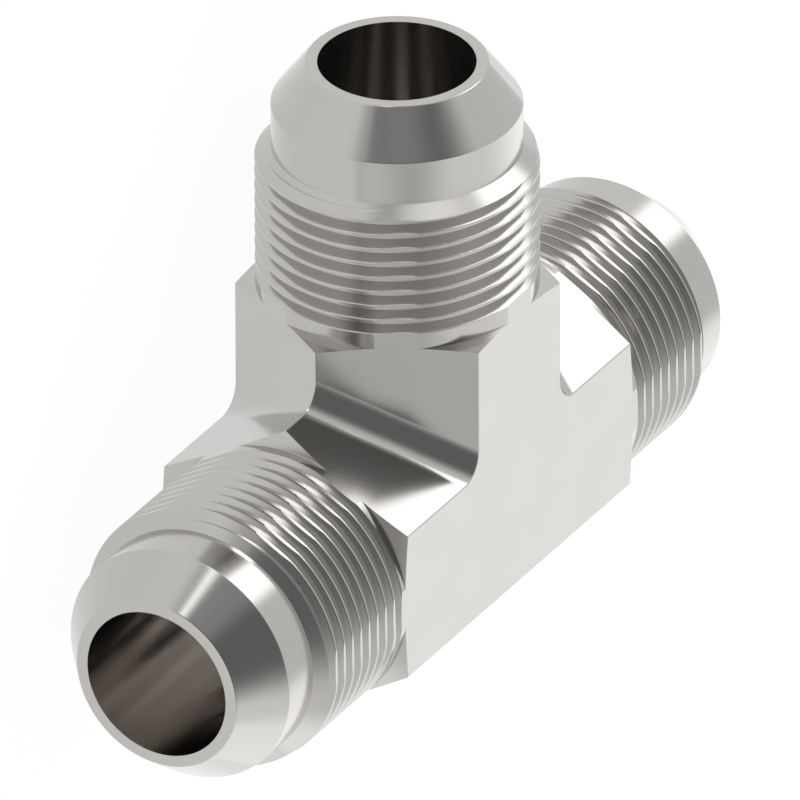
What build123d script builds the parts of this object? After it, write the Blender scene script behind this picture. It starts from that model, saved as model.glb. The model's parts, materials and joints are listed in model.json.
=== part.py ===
"""Flared tube union tee: one hexagonal body with three 37 degree flare ends."""
from math import cos, radians, tan
import os

from build123d import *

# Body, in millimetres: two hexagonal bars that meet at a right angle
across_flats = 21.94
centre_to_end = 37.15
body_fillet = 2.6
hexagon_sides = 6

# Shoulder: each hexagon runs on past the crossing bar and is faced off to a shallow cone
shoulder_length = 4.6
shoulder_cone_angle = 15.0

# Thread blank, at the outside diameter of the male thread, with the flats just cutting through it
thread_diameter = 22.225
thread_chamfer_length = 0.86

# Flare nose: neck, 37 degree seat and rim round the bore
nose_length = 7.19
neck_diameter = 19.66
rim_diameter = 14.29
seat_angle = 37.0
bore_diameter = 12.4

# Plain hexagon on each end piece, and how far the turning profile passes the metal
hexagon_stub = 1.0
turning_clearance = 1.5

# Radii of the turned steps, and their stations along an end from the tee's centre
thread_radius = thread_diameter / 2
neck_radius = neck_diameter / 2
rim_radius = rim_diameter / 2
corner_radius = across_flats / 2 / cos(radians(180 / hexagon_sides))
blank_radius = corner_radius + turning_clearance
shoulder_slope = tan(radians(shoulder_cone_angle))
seat_slope = tan(radians(seat_angle))
shoulder_station = corner_radius + shoulder_length
body_reach = shoulder_station - hexagon_stub
turning_start_station = shoulder_station - turning_clearance * shoulder_slope
thread_start_station = shoulder_station + (corner_radius - thread_radius) * shoulder_slope
neck_start_station = centre_to_end - nose_length
seat_start_station = centre_to_end - (neck_radius - rim_radius) / seat_slope

# One end of the tee, along +Z from the tee's centre, with a corner of the hexagon on +X
with BuildPart() as flare_end:
    with BuildSketch(Plane.XY.offset(body_reach)):
        RegularPolygon(across_flats / 2, hexagon_sides, major_radius=False)
    extrude(amount=centre_to_end - body_reach)
    # What is turned off the hexagonal bar: shoulder cone, thread diameter, chamfer, neck and seat
    with BuildSketch(Plane.XZ):
        with BuildLine():
            Polyline(
                (blank_radius, turning_start_station),
                (thread_radius, thread_start_station),
                (thread_radius, neck_start_station - thread_chamfer_length),
                (neck_radius, neck_start_station),
                (neck_radius, seat_start_station),
                (rim_radius - turning_clearance * seat_slope, centre_to_end + turning_clearance),
                (blank_radius, centre_to_end + turning_clearance),
                close=True,
            )
        make_face()
    revolve(axis=Axis.Z, mode=Mode.SUBTRACT)

# The ends point along +X, -X and +Y, and two flats of every hexagon face +Z and -Z
right_end = Plane(origin=(0, 0, 0), x_dir=(0, -1, 0), z_dir=(1, 0, 0))
left_end = Plane(origin=(0, 0, 0), x_dir=(0, 1, 0), z_dir=(-1, 0, 0))
branch_end = Plane(origin=(0, 0, 0), x_dir=(1, 0, 0), z_dir=(0, 1, 0))

with BuildPart() as tee_body:
    with BuildSketch(right_end.offset(-body_reach)):
        RegularPolygon(across_flats / 2, hexagon_sides, major_radius=False)
    extrude(amount=2 * body_reach)
    with BuildSketch(branch_end):
        RegularPolygon(across_flats / 2, hexagon_sides, major_radius=False)
    extrude(amount=body_reach)
    # The four inner corners between the branch and the run
    fillet(tee_body.edges().filter_by(lambda edge: edge.is_interior), body_fillet)
    for end in (right_end, left_end, branch_end):
        with Locations(end):
            add(flare_end.part)
    with Locations(right_end):
        Hole(bore_diameter / 2)
    with Locations(branch_end.offset(centre_to_end)):
        Hole(bore_diameter / 2, depth=centre_to_end)

tee_body.part.label = "tee_body"
os.makedirs("parts", exist_ok=True)
export_step(tee_body.part, "parts/tee_body.step")
print("tee_body volume", round(tee_body.part.volume, 1), "cubic mm, valid", tee_body.part.is_valid)
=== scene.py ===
# %% [markdown]
# # A flared tube union tee in machined stainless steel
#
# The real tee is one piece of metal. A hexagonal blank is turned on each of its three ends: a shallow
# cone behind the thread, the thread itself, a chamfer, a neck and a 37 degree seat for a flared tube.
# The bores of the three ends meet in the middle. Here the blank is built face by face, and Geometry
# Nodes do the machinist's part: they cut away what the lathe takes off and the thread's groove, end
# after end.

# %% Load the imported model
import json
from math import ceil, cos, pi, radians, sin, tan

import bmesh
import bpy
import numpy as np
from mathutils import Matrix, Vector


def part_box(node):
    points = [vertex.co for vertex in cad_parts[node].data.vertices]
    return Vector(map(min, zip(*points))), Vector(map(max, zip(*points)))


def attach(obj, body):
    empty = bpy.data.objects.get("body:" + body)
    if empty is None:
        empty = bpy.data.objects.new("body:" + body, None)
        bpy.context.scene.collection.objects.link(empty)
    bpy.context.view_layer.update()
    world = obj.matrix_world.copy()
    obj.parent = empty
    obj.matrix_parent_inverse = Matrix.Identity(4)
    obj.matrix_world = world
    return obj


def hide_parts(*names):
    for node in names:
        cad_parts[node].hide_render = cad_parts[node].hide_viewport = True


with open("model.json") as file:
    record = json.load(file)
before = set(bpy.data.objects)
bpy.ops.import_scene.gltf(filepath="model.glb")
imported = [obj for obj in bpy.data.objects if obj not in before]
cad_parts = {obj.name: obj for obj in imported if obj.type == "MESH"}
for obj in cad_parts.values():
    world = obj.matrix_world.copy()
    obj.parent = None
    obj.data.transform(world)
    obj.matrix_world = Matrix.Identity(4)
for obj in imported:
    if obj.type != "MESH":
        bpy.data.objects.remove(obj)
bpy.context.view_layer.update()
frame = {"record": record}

# %% [markdown]
# ## Sizes
#
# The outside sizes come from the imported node, and the bore from its mount, so the dressed part always
# fits the solid it stands for. The turned steps are written here in millimetres, as a drawing gives
# them. A station is a distance from the tee's centre along an end.

# %% Sizes of the blank and of the turned steps
MM = 0.001
low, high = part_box("tee_body")
centre_to_end = high.x
half_flats = high.z
corner_radius = -low.y
mounts = {mount["name"]: mount for mount in frame["record"]["mounts"]}
bore_radius = mounts["run_bore"]["dims"]["r_mm"] * MM

body_fillet = 2.6 * MM
shoulder_length = 4.6 * MM
shoulder_slope = tan(radians(15))
thread_radius = 22.225 / 2 * MM
chamfer_length = 0.86 * MM
nose_length = 7.19 * MM
neck_radius = 19.66 / 2 * MM
rim_radius = 14.29 / 2 * MM
seat_slope = tan(radians(37))

shoulder_station = corner_radius + shoulder_length
thread_start = shoulder_station + (corner_radius - thread_radius) * shoulder_slope
neck_start = centre_to_end - nose_length
chamfer_start = neck_start - chamfer_length
seat_start = centre_to_end - (neck_radius - rim_radius) / seat_slope
print("thread from station", round(thread_start / MM, 2), "to", round(chamfer_start / MM, 2),
      "mm, neck from", round(neck_start / MM, 2), "mm, seat from", round(seat_start / MM, 2), "mm")

# %% [markdown]
# ## The blank
#
# Two hexagonal bars cross at a right angle. The four inner corners are rounded with a 2.6 mm fillet, and
# where the upper and lower fillets meet they leave a mitre crease that carries on the bar's ridge. A
# boolean and a bevel could make this, but the faces are few and exact, so they are written out: each
# fillet is a cylinder, and its rulings end on the top flat and on the level of the ridges.

# %% The rounded corner and one way to add a face
cos30, sin30, tan30 = cos(radians(30)), sin(radians(30)), tan(radians(30))
FILLET_STEPS = 48
fillet_start = (half_flats + body_fillet) / cos30


def corner_arc(height):
    """The rounded inner corner at a height, from the run's slanted flat to the branch's."""
    from_run = Vector((0, -cos30, -sin30))
    from_branch = Vector((-cos30, 0, -sin30))
    points = []
    for step in range(FILLET_STEPS + 1):
        spoke = from_run.slerp(from_branch, step / FILLET_STEPS) * body_fillet
        lean = tan30 * (height - spoke.z)
        points.append(Vector((fillet_start + spoke.x - lean, fillet_start + spoke.y - lean, height)))
    return points


def add_face(mesh, points, side=1, level=1):
    """One face of the blank, mirrored to the left (side) or to the underside (level)."""
    mesh.faces.new([mesh.verts.new((p[0] * side, p[1], p[2] * level)) for p in points])


top_arc, ridge_arc = corner_arc(half_flats), corner_arc(0)
print("each rounded corner has", FILLET_STEPS, "steps and starts at", round(top_arc[0].x / MM, 2), "mm")

# %% [markdown]
# Each face is written once, for the right end and the upper half. The loops over side and level mirror
# it to the left and to the underside. Every face brings its own corners, and the last step welds them.

# %% Build the hexagonal blank
BLANK_WELD = 0.0005 * MM
reach, corner, half_flat = centre_to_end, corner_radius, corner_radius / 2
ring = [(corner, 0), (half_flat, half_flats), (-half_flat, half_flats), (-corner, 0),
        (-half_flat, -half_flats), (half_flat, -half_flats)]
run_cap = [(reach, offset, height) for offset, height in ring]
branch_cap = [(offset, reach, height) for offset, height in ring]

blank = bmesh.new()
for level in (1, -1):
    tee_outline = [(reach, -half_flat, half_flats), (reach, half_flat, half_flats)]
    tee_outline += [tuple(p) for p in top_arc]
    tee_outline += [(half_flat, reach, half_flats), (-half_flat, reach, half_flats)]
    tee_outline += [(-p.x, p.y, p.z) for p in reversed(top_arc)]
    tee_outline += [(-reach, half_flat, half_flats), (-reach, -half_flat, half_flats)]
    add_face(blank, tee_outline, level=level)
    add_face(blank, [(-reach, -corner, 0), (reach, -corner, 0), (reach, -half_flat, half_flats),
                     (-reach, -half_flat, half_flats)], level=level)
    for side in (1, -1):
        add_face(blank, [(reach, corner, 0), (reach, half_flat, half_flats), top_arc[0], ridge_arc[0]],
                 side, level)
        add_face(blank, [(corner, reach, 0), (half_flat, reach, half_flats), top_arc[-1], ridge_arc[-1]],
                 side, level)
        for step in range(FILLET_STEPS):
            add_face(blank, [top_arc[step], top_arc[step + 1], ridge_arc[step + 1], ridge_arc[step]],
                     side, level)
add_face(blank, run_cap)
add_face(blank, run_cap, side=-1)
add_face(blank, branch_cap)
bmesh.ops.remove_doubles(blank, verts=blank.verts, dist=BLANK_WELD)
bmesh.ops.recalc_face_normals(blank, faces=blank.faces)
open_edges = [edge for edge in blank.edges if not edge.is_manifold]
print("blank:", len(blank.faces), "faces,", len(open_edges), "open edges, volume",
      round(blank.calc_volume(signed=True) / MM ** 3), "cubic mm")

blank_mesh = bpy.data.meshes.new("blank")
blank.to_mesh(blank_mesh)
blank.free()
tee_blank = bpy.data.objects.new("tee_blank", blank_mesh)
bpy.context.scene.collection.objects.link(tee_blank)

# %% [markdown]
# The ridges of a machined hexagon are never knife edges: a file or a tumbling drum takes about a
# twentieth of a millimetre off them. That narrow band is what draws a thin line of light along them.

# %% Break the edges of the blank
EDGE_BREAK = 0.06 * MM
SMALLEST_BEND = radians(25)
edge_break = tee_blank.modifiers.new("edge break", "BEVEL")
edge_break.width = EDGE_BREAK
edge_break.segments = 2
edge_break.limit_method = "ANGLE"
edge_break.angle_limit = SMALLEST_BEND
print("edge break", round(EDGE_BREAK / MM, 3), "mm")

# %% [markdown]
# ## One way to add a node
#
# Every tree below, for geometry and for materials, is made with this one small function. A value is
# a number for the socket, or a node or one of its outputs, which is then linked to it.

# %% Add a node


def add_node(tree, kind, values=None, **settings):
    """A node of a kind, with its settings, and its inputs set or linked by name or number."""
    node = tree.nodes.new(kind)
    for name, value in settings.items():
        setattr(node, name, value)
    for key, value in (values or {}).items():
        if isinstance(value, bpy.types.Node):
            value = value.outputs[0]
        if isinstance(value, bpy.types.NodeSocket):
            tree.links.new(value, node.inputs[key])
        else:
            node.inputs[key].default_value = value
    return node


print("a node can now be added with its settings and links in one call")

# %% [markdown]
# The three geometry trees start alike, so that is a helper too. Each size comes in by a named input, and
# a tree can then be used again with another size, as the thread groove is on each end.

# %% Start a geometry tree


def new_geometry_tree(name, sizes):
    """An empty geometry tree with a named float input for each size."""
    tree = bpy.data.node_groups.new(name, "GeometryNodeTree")
    tree.interface.new_socket("Geometry", in_out="INPUT", socket_type="NodeSocketGeometry")
    tree.interface.new_socket("Geometry", in_out="OUTPUT", socket_type="NodeSocketGeometry")
    for size, value in sizes.items():
        socket = tree.interface.new_socket(size, in_out="INPUT", socket_type="NodeSocketFloat")
        socket.default_value = value
    return tree


print("a geometry tree now starts with a named input for each size")

# %% [markdown]
# ## From a profile to a turned shape
#
# Both cutters of the lathe are a closed profile that goes round an axis. Blender has a Screw modifier for
# that, but a grid of points gives more control: its rows are the corners of the profile, and its columns
# are steps round the axis. The first corner comes again in the last row, so that the profile closes. A
# tree then moves each point to its place, turns it round the axis and welds the points that meet.

# %% Lay the profile and turn it
SEGMENTS = 240
CUTTER_WELD = 0.0002 * MM


def lay_profile(tree, corners, columns, segments):
    """A grid with a row for each corner, and, for each point, its corner, its column and its turns."""
    rows = len(corners) + 1
    grid = add_node(tree, "GeometryNodeMeshGrid", {"Vertices X": columns, "Vertices Y": rows})
    index = add_node(tree, "GeometryNodeInputIndex")
    share = add_node(tree, "ShaderNodeMath", {0: index, 1: rows}, operation="DIVIDE")
    column = add_node(tree, "ShaderNodeMath", {0: share}, operation="FLOOR")
    row = add_node(tree, "ShaderNodeMath", {0: index, 1: rows}, operation="MODULO")
    corner_point = add_node(tree, "GeometryNodeIndexSwitch", data_type="VECTOR")
    for _ in range(rows - 2):
        corner_point.index_switch_items.new()
    tree.links.new(row.outputs[0], corner_point.inputs[0])
    for number, (radius, station) in enumerate(corners + corners[:1]):
        corner_point.inputs[number + 1].default_value = (radius, 0, station)
    turns = add_node(tree, "ShaderNodeMath", {0: column, 1: segments}, operation="DIVIDE")
    return grid, corner_point, column, turns


def turn_and_close(tree, grid, point, angle):
    """Turn every point by its angle, weld what meets, and face the cutter outward."""
    turned_point = add_node(tree, "ShaderNodeVectorRotate", {"Vector": point, "Angle": angle},
                            rotation_type="Z_AXIS")
    moved = add_node(tree, "GeometryNodeSetPosition", {"Geometry": grid, "Position": turned_point})
    closed = add_node(tree, "GeometryNodeMergeByDistance", {"Geometry": moved, "Distance": CUTTER_WELD})
    outward = add_node(tree, "GeometryNodeFlipFaces", {0: closed})
    add_node(tree, "NodeGroupOutput", {0: outward})


print("a full turn has", SEGMENTS, "steps")

# %% [markdown]
# ## What the lathe takes off
#
# The first cutter is the waste of one end. Its profile runs along the finished steps, from the shoulder
# cone to the rim, and comes back well clear of the metal. The sharp edges at the seat and at the rim
# are broken by a few hundredths of a millimetre.

# %% Tree: the turned waste of one end
CLEAR_OF_METAL = 1.5 * MM
RIM_BREAK = 0.04 * MM
waste_radius = corner_radius + CLEAR_OF_METAL
past_end = centre_to_end + CLEAR_OF_METAL
waste_profile = [
    (waste_radius, shoulder_station - (waste_radius - corner_radius) * shoulder_slope),
    (thread_radius, thread_start),
    (thread_radius, chamfer_start),
    (neck_radius, neck_start),
    (neck_radius, seat_start - RIM_BREAK),
    (neck_radius - RIM_BREAK * seat_slope, seat_start + RIM_BREAK / 2),
    (rim_radius + RIM_BREAK, centre_to_end - RIM_BREAK / seat_slope),
    (rim_radius - RIM_BREAK, centre_to_end + RIM_BREAK / 4),
    (bore_radius / 2, past_end),
    (waste_radius, past_end),
]

waste_tree = new_geometry_tree("turned_waste", {"Segments": SEGMENTS})
segments = add_node(waste_tree, "NodeGroupInput").outputs["Segments"]
columns = add_node(waste_tree, "ShaderNodeMath", {0: segments, 1: 1.0}, operation="ADD")
grid, waste_corner, column, turns = lay_profile(waste_tree, waste_profile, columns, segments)
angle = add_node(waste_tree, "ShaderNodeMath", {0: turns, 1: 2 * pi}, operation="MULTIPLY")
turn_and_close(waste_tree, grid, waste_corner, angle)
print("turned waste:", len(waste_profile), "profile points,", SEGMENTS, "segments")

# %% [markdown]
# ## The thread groove
#
# A single-point tool cuts a 60 degree V that climbs one pitch each turn. The V has a narrow flat at its
# root, and it opens a little wider at the crests, which takes their sharp edges off. Here are its sizes.

# %% Sizes of the thread
thread_pitch = 1.27 * MM
crest_flat = 0.16 * MM
root_flat = 0.16 * MM
flank_slope = tan(radians(30))
groove_width = thread_pitch - crest_flat
groove_depth = (groove_width - root_flat) / 2 / flank_slope
first_groove = 18.05 * MM

groove_clearance = 0.03 * MM
crest_break = 0.07 * MM
break_slope = 1 / tan(radians(50))
break_start = groove_width / 2 - crest_break * flank_slope
groove_mouth = break_start + (crest_break + groove_clearance) * break_slope
groove_turns = ceil((neck_start - first_groove) / thread_pitch) + 0.5
entry_angle = radians(50)
safe_radius = thread_radius + 8 * groove_clearance
groove_corners = [
    (thread_radius + groove_clearance, -groove_mouth),
    (thread_radius - crest_break, -break_start),
    (thread_radius - groove_depth, -root_flat / 2),
    (thread_radius - groove_depth, root_flat / 2),
    (thread_radius - crest_break, break_start),
    (thread_radius + groove_clearance, groove_mouth),
]
print("thread groove:", round(groove_depth / MM, 3), "mm deep,", groove_turns, "turns from station",
      round(first_groove / MM, 2), "mm")

# %% [markdown]
# The tree lays the V as a grid, one column for each step along the helix. At its start the V comes in
# from outside the metal over part of a turn, as the tool does, and it runs out past the chamfer. Its
# first and last columns shrink to a point outside the metal, which closes the groove's ends.

# %% Tree: the helical groove of one end
groove_tree = new_geometry_tree("thread_groove", {
    "Segments": SEGMENTS, "Turns": groove_turns, "Pitch": thread_pitch, "Start Angle": 0.0,
    "Start Station": first_groove + groove_width / 2, "Entry Angle": entry_angle,
    "Lift": groove_depth + groove_clearance, "Safe Radius": safe_radius})
inputs = add_node(groove_tree, "NodeGroupInput")
segments = inputs.outputs["Segments"]
steps = add_node(groove_tree, "ShaderNodeMath", {0: segments, 1: inputs.outputs["Turns"]},
                 operation="MULTIPLY")
columns = add_node(groove_tree, "ShaderNodeMath", {0: steps, 1: 1.0}, operation="ADD")
grid, groove_corner, column, turns = lay_profile(groove_tree, groove_corners, columns, segments)
parts = add_node(groove_tree, "ShaderNodeSeparateXYZ", {0: groove_corner})
angle = add_node(groove_tree, "ShaderNodeMath", {0: turns, 1: 2 * pi}, operation="MULTIPLY")
lift = add_node(groove_tree, "ShaderNodeMapRange",
                {"Value": angle, "From Max": inputs.outputs["Entry Angle"],
                 "To Min": inputs.outputs["Lift"], "To Max": 0.0}, interpolation_type="SMOOTHSTEP")
steps_left = add_node(groove_tree, "ShaderNodeMath", {0: steps, 1: column}, operation="SUBTRACT")
near_end = add_node(groove_tree, "ShaderNodeMath", {0: column, 1: steps_left}, operation="MINIMUM")
open_share = add_node(groove_tree, "ShaderNodeMath", {0: near_end, 1: 1.0}, operation="MINIMUM")
cut_radius = add_node(groove_tree, "ShaderNodeMath", {0: parts.outputs["X"], 1: lift}, operation="ADD")
radius = add_node(groove_tree, "ShaderNodeMapRange",
                  {"Value": open_share, "To Min": inputs.outputs["Safe Radius"], "To Max": cut_radius})
offset = add_node(groove_tree, "ShaderNodeMath", {0: parts.outputs["Z"], 1: open_share},
                  operation="MULTIPLY")
climb = add_node(groove_tree, "ShaderNodeMath",
                 {0: turns, 1: inputs.outputs["Pitch"], 2: inputs.outputs["Start Station"]},
                 operation="MULTIPLY_ADD")
station = add_node(groove_tree, "ShaderNodeMath", {0: climb, 1: offset}, operation="ADD")
groove_point = add_node(groove_tree, "ShaderNodeCombineXYZ", {"X": radius, "Z": station})
azimuth = add_node(groove_tree, "ShaderNodeMath", {0: angle, 1: inputs.outputs["Start Angle"]},
                   operation="ADD")
turn_and_close(groove_tree, grid, groove_point, azimuth)
print("thread groove tree:", len(groove_tree.nodes), "nodes")

# %% [markdown]
# ## Machining the blank
#
# The last tree sets both cutters on each end and takes them away from the blank, with the two bores. Each
# end looks along its own axis, with the upper flat of the tee at angle zero, and each thread starts at
# its own angle, as three threads cut in three chuckings do.

# %% Tree: the machined tee
ENDS = {
    # name: the axis, the angle in degrees where its thread starts, and how much further out it starts
    "right": (Vector((1, 0, 0)), -103.5, 0.0),
    "left": (Vector((-1, 0, 0)), -43.5, 0.0),
    "branch": (Vector((0, 1, 0)), 76.5, 0.2 * MM),
}
DRILLS = {
    # name: the end it comes in from, its length, and how far its middle is from the tee's centre
    "run": ("right", 2 * past_end, 0.0),
    "branch": ("branch", past_end, past_end / 2),
}


def end_rotation(axis):
    """The turn that takes local Z to an end's axis and local X to the upper flat."""
    up = Vector((0, 0, 1))
    return Matrix((up, axis.cross(up), axis)).transposed().to_euler()


machined_tree = new_geometry_tree("machined_tee", {"Bore Radius": bore_radius})
machined_tree.interface.new_socket("Steel", in_out="INPUT", socket_type="NodeSocketMaterial")
inputs = add_node(machined_tree, "NodeGroupInput")
cutters = []
for axis, start_angle, start_shift in ENDS.values():
    waste = add_node(machined_tree, "GeometryNodeGroup", node_tree=waste_tree)
    groove = add_node(machined_tree, "GeometryNodeGroup", node_tree=groove_tree)
    groove.inputs["Start Angle"].default_value = radians(start_angle)
    groove.inputs["Start Station"].default_value = first_groove + groove_width / 2 + start_shift
    for cutter in (waste, groove):
        cutters.append(add_node(machined_tree, "GeometryNodeTransform",
                                {"Geometry": cutter, "Rotation": end_rotation(axis)}))
for end, length, middle in DRILLS.values():
    axis = ENDS[end][0]
    drill = add_node(machined_tree, "GeometryNodeMeshCylinder",
                     {"Vertices": SEGMENTS, "Radius": inputs.outputs["Bore Radius"], "Depth": length})
    cutters.append(add_node(machined_tree, "GeometryNodeTransform",
                            {"Geometry": drill, "Rotation": end_rotation(axis),
                             "Translation": axis * middle}))
machined = add_node(machined_tree, "GeometryNodeMeshBoolean", {0: inputs.outputs["Geometry"]},
                    operation="DIFFERENCE", solver="MANIFOLD")
for cutter in cutters:
    machined_tree.links.new(cutter.outputs[0], machined.inputs[1])
realized = add_node(machined_tree, "GeometryNodeRealizeInstances", {0: machined})
finished = add_node(machined_tree, "GeometryNodeSetMaterial",
                    {"Geometry": realized, "Material": inputs.outputs["Steel"]})
add_node(machined_tree, "NodeGroupOutput", {0: finished})
print("machined tee:", len(cutters), "cutters on", len(ENDS), "ends")

# %% [markdown]
# ## Machined stainless steel
#
# The tee is turned and milled from stainless steel bar and then brightened. To the eye that is a warm grey
# metal with soft, slightly blurred reflections. On the turned faces the tool leaves fine rings, one for
# each turn, and on the flats the cutter leaves a faint grain. The rings follow the shape, so they read how
# far a point lies along the turned profile, which is stored on the mesh as an attribute. The reamed bores
# have a more even finish. Their steel is also painted a shade lighter than the outside, as painted light
# for the light that bounces between their walls.

# %% Colours of the steel


def linear(hex_colour):
    """An sRGB hex colour as the linear values that shaders work in."""
    channels = [int(hex_colour[start:start + 2], 16) / 255 for start in (1, 3, 5)]
    return tuple(c / 12.92 if c <= 0.04045 else ((c + 0.055) / 1.055) ** 2.4 for c in channels) + (1.0,)


STEEL_LIGHT = "#BFBDBA"
STEEL_DARK = "#B9B7B4"
# Painted light: the bores' steel is lighter than the outside's, standing in for the light that bounces
# between their walls
PAINTED_LIGHT_BORE_STEEL = "#D9D6D3"
print("light steel as linear values:", [round(channel, 3) for channel in linear(STEEL_LIGHT)[:3]])

# %% [markdown]
# The marks are noise. The rings run along the feed, and the grain is stretched along the run. A finishing
# cut feeds the tool about a tenth of a millimetre each turn, which is too fine to show, so the rings
# are drawn a quarter of a millimetre apart. Broad soft clouds keep a large face from looking too even.

# %% Marks of the tools
# All in millimetres
FEED_PER_TURN = 0.25
GRAIN_WIDTH = 0.3
GRAIN_LENGTH = 7.5
CLOUD_SIZE = 6.0

steel = bpy.data.materials.new("machined_stainless_steel")
steel.use_nodes = True
steel_tree = steel.node_tree
steel_tree.nodes.clear()
feed = add_node(steel_tree, "ShaderNodeAttribute", attribute_name="lathe_feed")
turned = add_node(steel_tree, "ShaderNodeAttribute", attribute_name="turned")
reamed_and_bore_light = add_node(steel_tree, "ShaderNodeAttribute", attribute_name="reamed_and_bore_light")
place = add_node(steel_tree, "ShaderNodeTexCoord")
in_mm = add_node(steel_tree, "ShaderNodeVectorMath",
                 {0: place.outputs["Object"], 1: (1 / MM, 1 / MM, 1 / MM)}, operation="MULTIPLY")
rings = add_node(steel_tree, "ShaderNodeTexNoise",
                 {"W": feed.outputs["Fac"], "Scale": 1 / FEED_PER_TURN, "Detail": 2.0},
                 noise_dimensions="1D")
along_grain = add_node(steel_tree, "ShaderNodeVectorMath",
                       {0: in_mm, 1: (1 / GRAIN_LENGTH, 1 / GRAIN_WIDTH, 1 / GRAIN_WIDTH)},
                       operation="MULTIPLY")
grain = add_node(steel_tree, "ShaderNodeTexNoise", {"Vector": along_grain, "Scale": 1.0, "Detail": 3.0})
marks = add_node(steel_tree, "ShaderNodeMix",
                 {"Factor": turned.outputs["Fac"], "A": grain, "B": rings}, data_type="FLOAT")
clouds = add_node(steel_tree, "ShaderNodeTexNoise",
                  {"Vector": in_mm, "Scale": 1 / CLOUD_SIZE, "Detail": 3.0})
print("rings", FEED_PER_TURN, "mm apart, grain", GRAIN_WIDTH, "by", GRAIN_LENGTH, "mm, clouds",
      CLOUD_SIZE, "mm")

# %% [markdown]
# The marks change the roughness a little and lift the surface by less than can be felt, which blurs and
# breaks up what the metal mirrors. The clouds only change the grey. The metal keeps the shader's own IOR.

# %% The steel's shader
SMOOTHEST, ROUGHEST, REAMED_ROUGHNESS = 0.15, 0.19, 0.16
MARK_DEPTH, MARK_STRENGTH = 0.01 * MM, 0.02
outer_colour = add_node(steel_tree, "ShaderNodeMix",
                        {0: clouds, 6: linear(STEEL_LIGHT), 7: linear(STEEL_DARK)}, data_type="RGBA")
# In the bores the colour turns to the lighter steel, which is painted light
colour = add_node(steel_tree, "ShaderNodeMix",
                  {0: reamed_and_bore_light.outputs["Fac"], 6: outer_colour.outputs[2], 7: linear(PAINTED_LIGHT_BORE_STEEL)},
                  data_type="RGBA")
outer_roughness = add_node(steel_tree, "ShaderNodeMapRange",
                           {"Value": marks, "To Min": SMOOTHEST, "To Max": ROUGHEST})
roughness = add_node(steel_tree, "ShaderNodeMix",
                     {"Factor": reamed_and_bore_light.outputs["Fac"], "A": outer_roughness, "B": REAMED_ROUGHNESS},
                     data_type="FLOAT")
relief = add_node(steel_tree, "ShaderNodeBump",
                  {"Height": marks, "Strength": MARK_STRENGTH, "Distance": MARK_DEPTH})
shader = add_node(steel_tree, "ShaderNodeBsdfPrincipled",
                  {"Base Color": colour.outputs[2], "Metallic": 1.0, "Roughness": roughness,
                   "Normal": relief})
add_node(steel_tree, "ShaderNodeOutputMaterial", {"Surface": shader})
print("steel:", steel.name, "with", len(steel_tree.nodes), "nodes")

# %% [markdown]
# ## From the tree to a plain mesh
#
# The modifier is given the steel, evaluated once and turned into a mesh of its own, so that nothing
# has to be worked out again later. The mesh has to be closed: its volume is printed, to set beside the
# CAD solid's, which has no threads.

# %% Machine the blank
machining = tee_blank.modifiers.new("machining", "NODES")
machining.node_group = machined_tree
steel_input = next(item for item in machined_tree.interface.items_tree if item.name == "Steel")
machining[steel_input.identifier] = steel
depsgraph = bpy.context.evaluated_depsgraph_get()
union_mesh = bpy.data.meshes.new_from_object(tee_blank.evaluated_get(depsgraph))
union_mesh.name = "union_tee"
bpy.data.objects.remove(tee_blank)

check = bmesh.new()
check.from_mesh(union_mesh)
bmesh.ops.triangulate(check, faces=check.faces, quad_method="SHORT_EDGE", ngon_method="BEAUTY")
open_edges = [edge for edge in check.edges if not edge.is_manifold]
print("machined tee:", len(check.faces), "triangles,", len(open_edges), "open edges, volume",
      round(check.calc_volume(signed=True) / MM ** 3), "cubic mm")
check.to_mesh(union_mesh)
check.free()

# %% [markdown]
# ## Shading that follows the lathe
#
# Every turned facet spans one step of the turn. Its flat normal is right at the middle of the step, so at
# each corner it is turned about the end's axis by the angle between the two. That gives round faces
# without a trace of facets and keeps every edge sharp. Fillets get the same treatment about their own
# axes, and the flats keep the normal they have. The first step is to find what a facet belongs to.

# %% Find the axis that a facet was turned about
STEP = 2 * pi / SEGMENTS
ON_SURFACE = 0.02 * MM
ON_FLAT = 0.2 * STEP
# Cosines of the angle between two directions: square, less than square and the same
SQUARE = 0.01
SLOPING = 0.05
SAME_WAY = 0.999


def azimuth_about(axis, vector):
    """The angle of a vector about an axis, from the upper flat."""
    up = Vector((0, 0, 1))
    return np.arctan2(vector.dot(axis.cross(up)), vector.dot(up))


def bore_axis(centre, normal):
    """The axis of the bore that a facet lies in, or None."""
    in_branch = centre.xz.length < bore_radius + ON_SURFACE and abs(normal.y) < SQUARE
    in_run = centre.yz.length < bore_radius + ON_SURFACE and abs(normal.x) < SQUARE
    if in_branch and (centre.y > bore_radius or (centre.y > 0 and not in_run)):
        return ENDS["branch"][0]
    return ENDS["right"][0] if in_run else None


def turned_about(centre, normal):
    """The axis a facet was turned about, or None for a flat face."""
    bored = bore_axis(centre, normal)
    if bored is not None:
        return bored
    for axis, *_ in ENDS.values():
        if centre.dot(axis) < shoulder_station - ON_SURFACE:
            continue
        along = abs(normal.dot(axis))
        if along > SAME_WAY:
            return None
        if along > SLOPING:
            return axis
        from_flat = (pi / 6 + azimuth_about(axis, normal)) % (pi / 3) - pi / 6
        return None if abs(from_flat) < ON_FLAT else axis
    return None


print("a step of the turn is", round(STEP * 180 / pi, 2), "degrees")

# %% [markdown]
# Now every corner of the mesh gets its normal. In the same round it gets the tool's feed, which is the
# distance along the turned profile in millimetres. It also gets marks for what was turned and for the
# reamed bores, which get their more even finish and their painted light.

# %% Corner normals and the feed of the tool


def fillet_normal(point, side, level):
    """The normal of a rounded inner corner: from the surface straight to the fillet's own axis."""
    direction = Vector((-tan30 * side, -tan30, level)).normalized()
    from_axis = point - Vector((fillet_start * side, fillet_start, 0))
    return -(from_axis - direction * from_axis.dot(direction))


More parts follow.
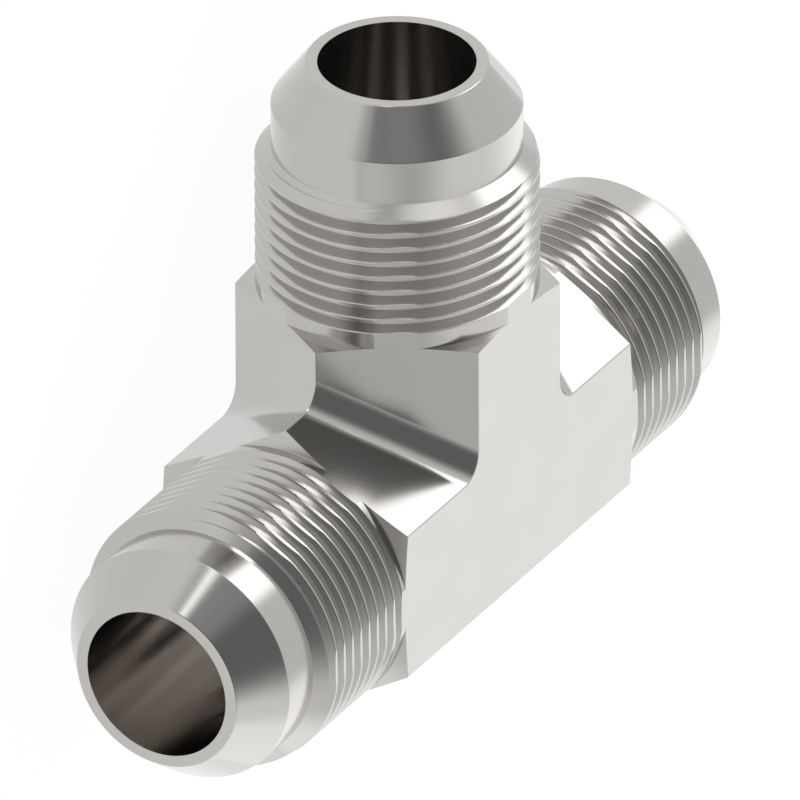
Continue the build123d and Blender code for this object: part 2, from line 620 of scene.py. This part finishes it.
normals = [None] * len(union_mesh.loops)
feeds, turned_share, reamed_and_bore_light_share = np.zeros((3, len(union_mesh.loops)))
for polygon in union_mesh.polygons:
    centre, normal = polygon.center.copy(), polygon.normal.copy()
    axis = turned_about(centre, normal)
    side, level = (1 if centre.x > 0 else -1), (1 if centre.z > 0 else -1)
    rounded = fillet_normal(centre, side, level)
    on_fillet = (axis is None and abs(rounded.length - body_fillet) < ON_SURFACE
                 and rounded.normalized().dot(normal) > SAME_WAY)
    if axis is not None:
        middle = (np.floor(azimuth_about(axis, centre) / STEP) + 0.5) * STEP
        along = normal.dot(axis)
        across = (1 - along ** 2) ** 0.5
        in_bore = (centre - axis * centre.dot(axis)).length < bore_radius + ON_SURFACE
    for loop in polygon.loop_indices:
        point = union_mesh.vertices[union_mesh.loops[loop].vertex_index].co
        normals[loop] = normal
        if axis is not None:
            turn = azimuth_about(axis, point) - middle
            turn = (turn + pi) % (2 * pi) - pi
            normals[loop] = Matrix.Rotation(turn, 3, axis) @ normal
            station = point.dot(axis)
            feeds[loop] = (station * across - (point - axis * station).length * along) / MM
            turned_share[loop] = 1
            reamed_and_bore_light_share[loop] = in_bore
        elif on_fillet:
            normals[loop] = fillet_normal(point, side, level).normalized()
union_mesh.polygons.foreach_set("use_smooth", [True] * len(union_mesh.polygons))
union_mesh.normals_split_custom_set(normals)
for name, values in (("lathe_feed", feeds), ("turned", turned_share), ("reamed_and_bore_light", reamed_and_bore_light_share)):
    union_mesh.attributes.new(name, "FLOAT", "CORNER").data.foreach_set("value", values)
print("turned corners:", int(turned_share.sum()), "of", len(normals))

# %% [markdown]
# ## Putting the tee in the frame
#
# The finished mesh, which carries the steel, stands for the imported node and rides on the only body.

# %% Place the union tee
union_tee = bpy.data.objects.new("union_tee", union_mesh)
bpy.context.scene.collection.objects.link(union_tee)
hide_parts("tee_body")
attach(union_tee, "root")
print("union tee rides on the root body")

# %% [markdown]
# ## The camera
#
# The picture is a parallel view, as CAD programs draw it. A very long lens far away comes within three
# pixels of that and still behaves as a normal camera when the view is turned. Its direction and size are
# the ones at which the two pictures of the tee lie closest.

# %% Set the camera
PICTURE_PIXELS = 800
PIXELS_PER_MM = 12.8018
CAMERA_DISTANCE = 2.86
SENSOR_WIDTH = 36
AIM_RIGHT, AIM_UP = 0.147 * MM, 5.857 * MM
toward_camera = Vector((-0.74744, 0.50066, 0.43667)).normalized()
picture_right = Vector((0.50315, -0.00258, 0.86420))
picture_up = toward_camera.cross(picture_right).normalized()
picture_right = picture_up.cross(toward_camera)
aim = picture_right * AIM_RIGHT + picture_up * AIM_UP

camera = bpy.data.cameras.new("camera")
camera.sensor_width = SENSOR_WIDTH
camera.lens = SENSOR_WIDTH * CAMERA_DISTANCE / (PICTURE_PIXELS / PIXELS_PER_MM * MM)
camera_object = bpy.data.objects.new("camera", camera)
bpy.context.scene.collection.objects.link(camera_object)
turned_view = Matrix((picture_right, picture_up, toward_camera)).transposed().to_4x4()
camera_object.matrix_world = Matrix.Translation(aim + toward_camera * CAMERA_DISTANCE) @ turned_view
bpy.context.scene.camera = camera_object
bpy.context.scene.view_settings.view_transform = "Standard"
print("lens", round(camera.lens), "mm at", CAMERA_DISTANCE, "m")

# %% [markdown]
# ## The studio
#
# Bright metal shows its surroundings more than its own colour. The studio is a pale room with a bright
# wall on the side away from the branch, a dark curtain behind the camera that gives the turned faces
# their dark bands, and soft boxes beyond the branch that draw the white streaks. Each is a round patch of
# the world with a soft edge, seen in some direction from the tee. The last two patches lie below the
# horizon: one is as white as the floor, and the other, below the curtain, is as grey as the floor is
# out there. In the bores light goes from wall to wall, and a few bounces are enough to show it.

# %% Light the tee
ROOM = 0.87
WHITE = 1.03
METAL_BOUNCES = 6
SURROUNDINGS = {
    # name: azimuth from X toward Y, elevation, half width and softness in degrees, and brightness
    "upper_side_wall": (-85, 45, 32, 15, 1.09),
    "side_wall": (-70, -5, 52, 8, 1.45),
    "low_curtain": (155, -8, 32, 22, 0.42),
    "curtain": (152, 44, 43, 17, 0.19),
    "curtain_foot": (110, 12, 26, 10, 0.39),
    "near_soft_box": (112, -3, 8, 4, 2.4),
    "low_soft_box": (72, -5, 22, 3, 4.6),
    "far_soft_box": (47, 17, 16, 4.5, 2.3),
    "below_the_horizon": (0, -90, 89, 1, WHITE),
    "below_the_curtain": (155, -50, 41, 8, 0.62),
}

bpy.context.scene.cycles.glossy_bounces = METAL_BOUNCES
world = bpy.data.worlds.new("studio")
world.use_nodes = True
bpy.context.scene.world = world
world_tree = world.node_tree
world_tree.nodes.clear()
sky = add_node(world_tree, "ShaderNodeTexCoord")
brightness = ROOM
for name, (azimuth_degrees, elevation, half_width, soft, patch_brightness) in SURROUNDINGS.items():
    across, up = radians(azimuth_degrees), radians(elevation)
    direction = (cos(up) * cos(across), cos(up) * sin(across), sin(up))
    facing = add_node(world_tree, "ShaderNodeVectorMath", {0: sky.outputs["Generated"], 1: direction},
                      operation="DOT_PRODUCT")
    patch = add_node(world_tree, "ShaderNodeMapRange",
                     {"Value": facing.outputs["Value"], "From Min": cos(radians(half_width + soft)),
                      "From Max": cos(radians(half_width - soft))}, interpolation_type="SMOOTHSTEP")
    brightness = add_node(world_tree, "ShaderNodeMix",
                          {"Factor": patch, "A": brightness, "B": patch_brightness}, data_type="FLOAT")
    print(name, "at", azimuth_degrees, "degrees, brightness", patch_brightness)
background = add_node(world_tree, "ShaderNodeBackground",
                      {"Color": linear("#FFFFFF"), "Strength": brightness})
add_node(world_tree, "ShaderNodeOutputWorld", {"Surface": background})

# %% [markdown]
# ## The floor
#
# A plain white floor under the tee, large enough to fill the picture to its edges.

# %% Lay the floor
FLOOR_HALF_SIZE = 3.0
floor_corners = [(x * FLOOR_HALF_SIZE, y * FLOOR_HALF_SIZE, low.z)
                 for x, y in ((-1, -1), (1, -1), (1, 1), (-1, 1))]
floor_mesh = bpy.data.meshes.new("floor")
floor_mesh.from_pydata(floor_corners, [], [(0, 1, 2, 3)])
floor = bpy.data.objects.new("floor", floor_mesh)
bpy.context.scene.collection.objects.link(floor)
print("floor at", round(low.z / MM, 2), "mm")

# %% [markdown]
# The floor is a matt white board. Its own glow is painted a little brighter toward the bright wall, as
# painted light like that on a floor beside a lit wall. It is also painted softly greyer some way out
# toward the curtain, as painted shade. Most of its brightness is its own, for the camera and for the metal
# that mirrors it, so it stays even; the rest takes the tee's shadow.

# %% Give the floor its white
FLOOR_WHITE = "#FCFCFC"
OWN_LIGHT = 0.92
# The floor's own glow carries painted light toward the bright wall and painted shade toward the curtain
FLOOR_CHANGES = {
    # name: the direction, where the change starts and ends along it, and the brightness at each
    "wall_glow": (Vector((0.17, -0.985, 0)), 6 * MM, 40 * MM, WHITE, 1.32),
    "curtain_shade": (Vector((-0.906, 0.423, 0)), 60 * MM, 135 * MM, 1.0, 0.6),
}

matt_white = bpy.data.materials.new("matt_white_board")
matt_white.use_nodes = True
floor_tree = matt_white.node_tree
floor_tree.nodes.clear()
point = add_node(floor_tree, "ShaderNodeNewGeometry")
own_brightness = 1.0
for toward, start, end, near_brightness, far_brightness in FLOOR_CHANGES.values():
    how_far = add_node(floor_tree, "ShaderNodeVectorMath", {0: point.outputs["Position"], 1: toward},
                       operation="DOT_PRODUCT")
    change = add_node(floor_tree, "ShaderNodeMapRange",
                      {"Value": how_far.outputs["Value"], "From Min": start, "From Max": end,
                       "To Min": near_brightness, "To Max": far_brightness},
                      interpolation_type="SMOOTHSTEP")
    own_brightness = add_node(floor_tree, "ShaderNodeMath", {0: own_brightness, 1: change},
                              operation="MULTIPLY")
paths = add_node(floor_tree, "ShaderNodeLightPath")
seen = add_node(floor_tree, "ShaderNodeMath",
                {0: paths.outputs["Is Camera Ray"], 1: paths.outputs["Is Glossy Ray"]},
                operation="MAXIMUM")
seen_or_through = add_node(floor_tree, "ShaderNodeMath",
                           {0: seen, 1: paths.outputs["Is Transmission Ray"]}, operation="MAXIMUM")
own_share = add_node(floor_tree, "ShaderNodeMath", {0: seen_or_through, 1: OWN_LIGHT},
                     operation="MULTIPLY")
board = add_node(floor_tree, "ShaderNodeBsdfDiffuse", {"Color": linear(FLOOR_WHITE)})
glow = add_node(floor_tree, "ShaderNodeEmission",
                {"Color": linear("#FFFFFF"), "Strength": own_brightness})
surface = add_node(floor_tree, "ShaderNodeMixShader", {0: own_share, 1: board, 2: glow})
add_node(floor_tree, "ShaderNodeOutputMaterial", {"Surface": surface})
floor_mesh.materials.append(matt_white)
print("floor:", matt_white.name, "with", len(floor_tree.nodes), "nodes")
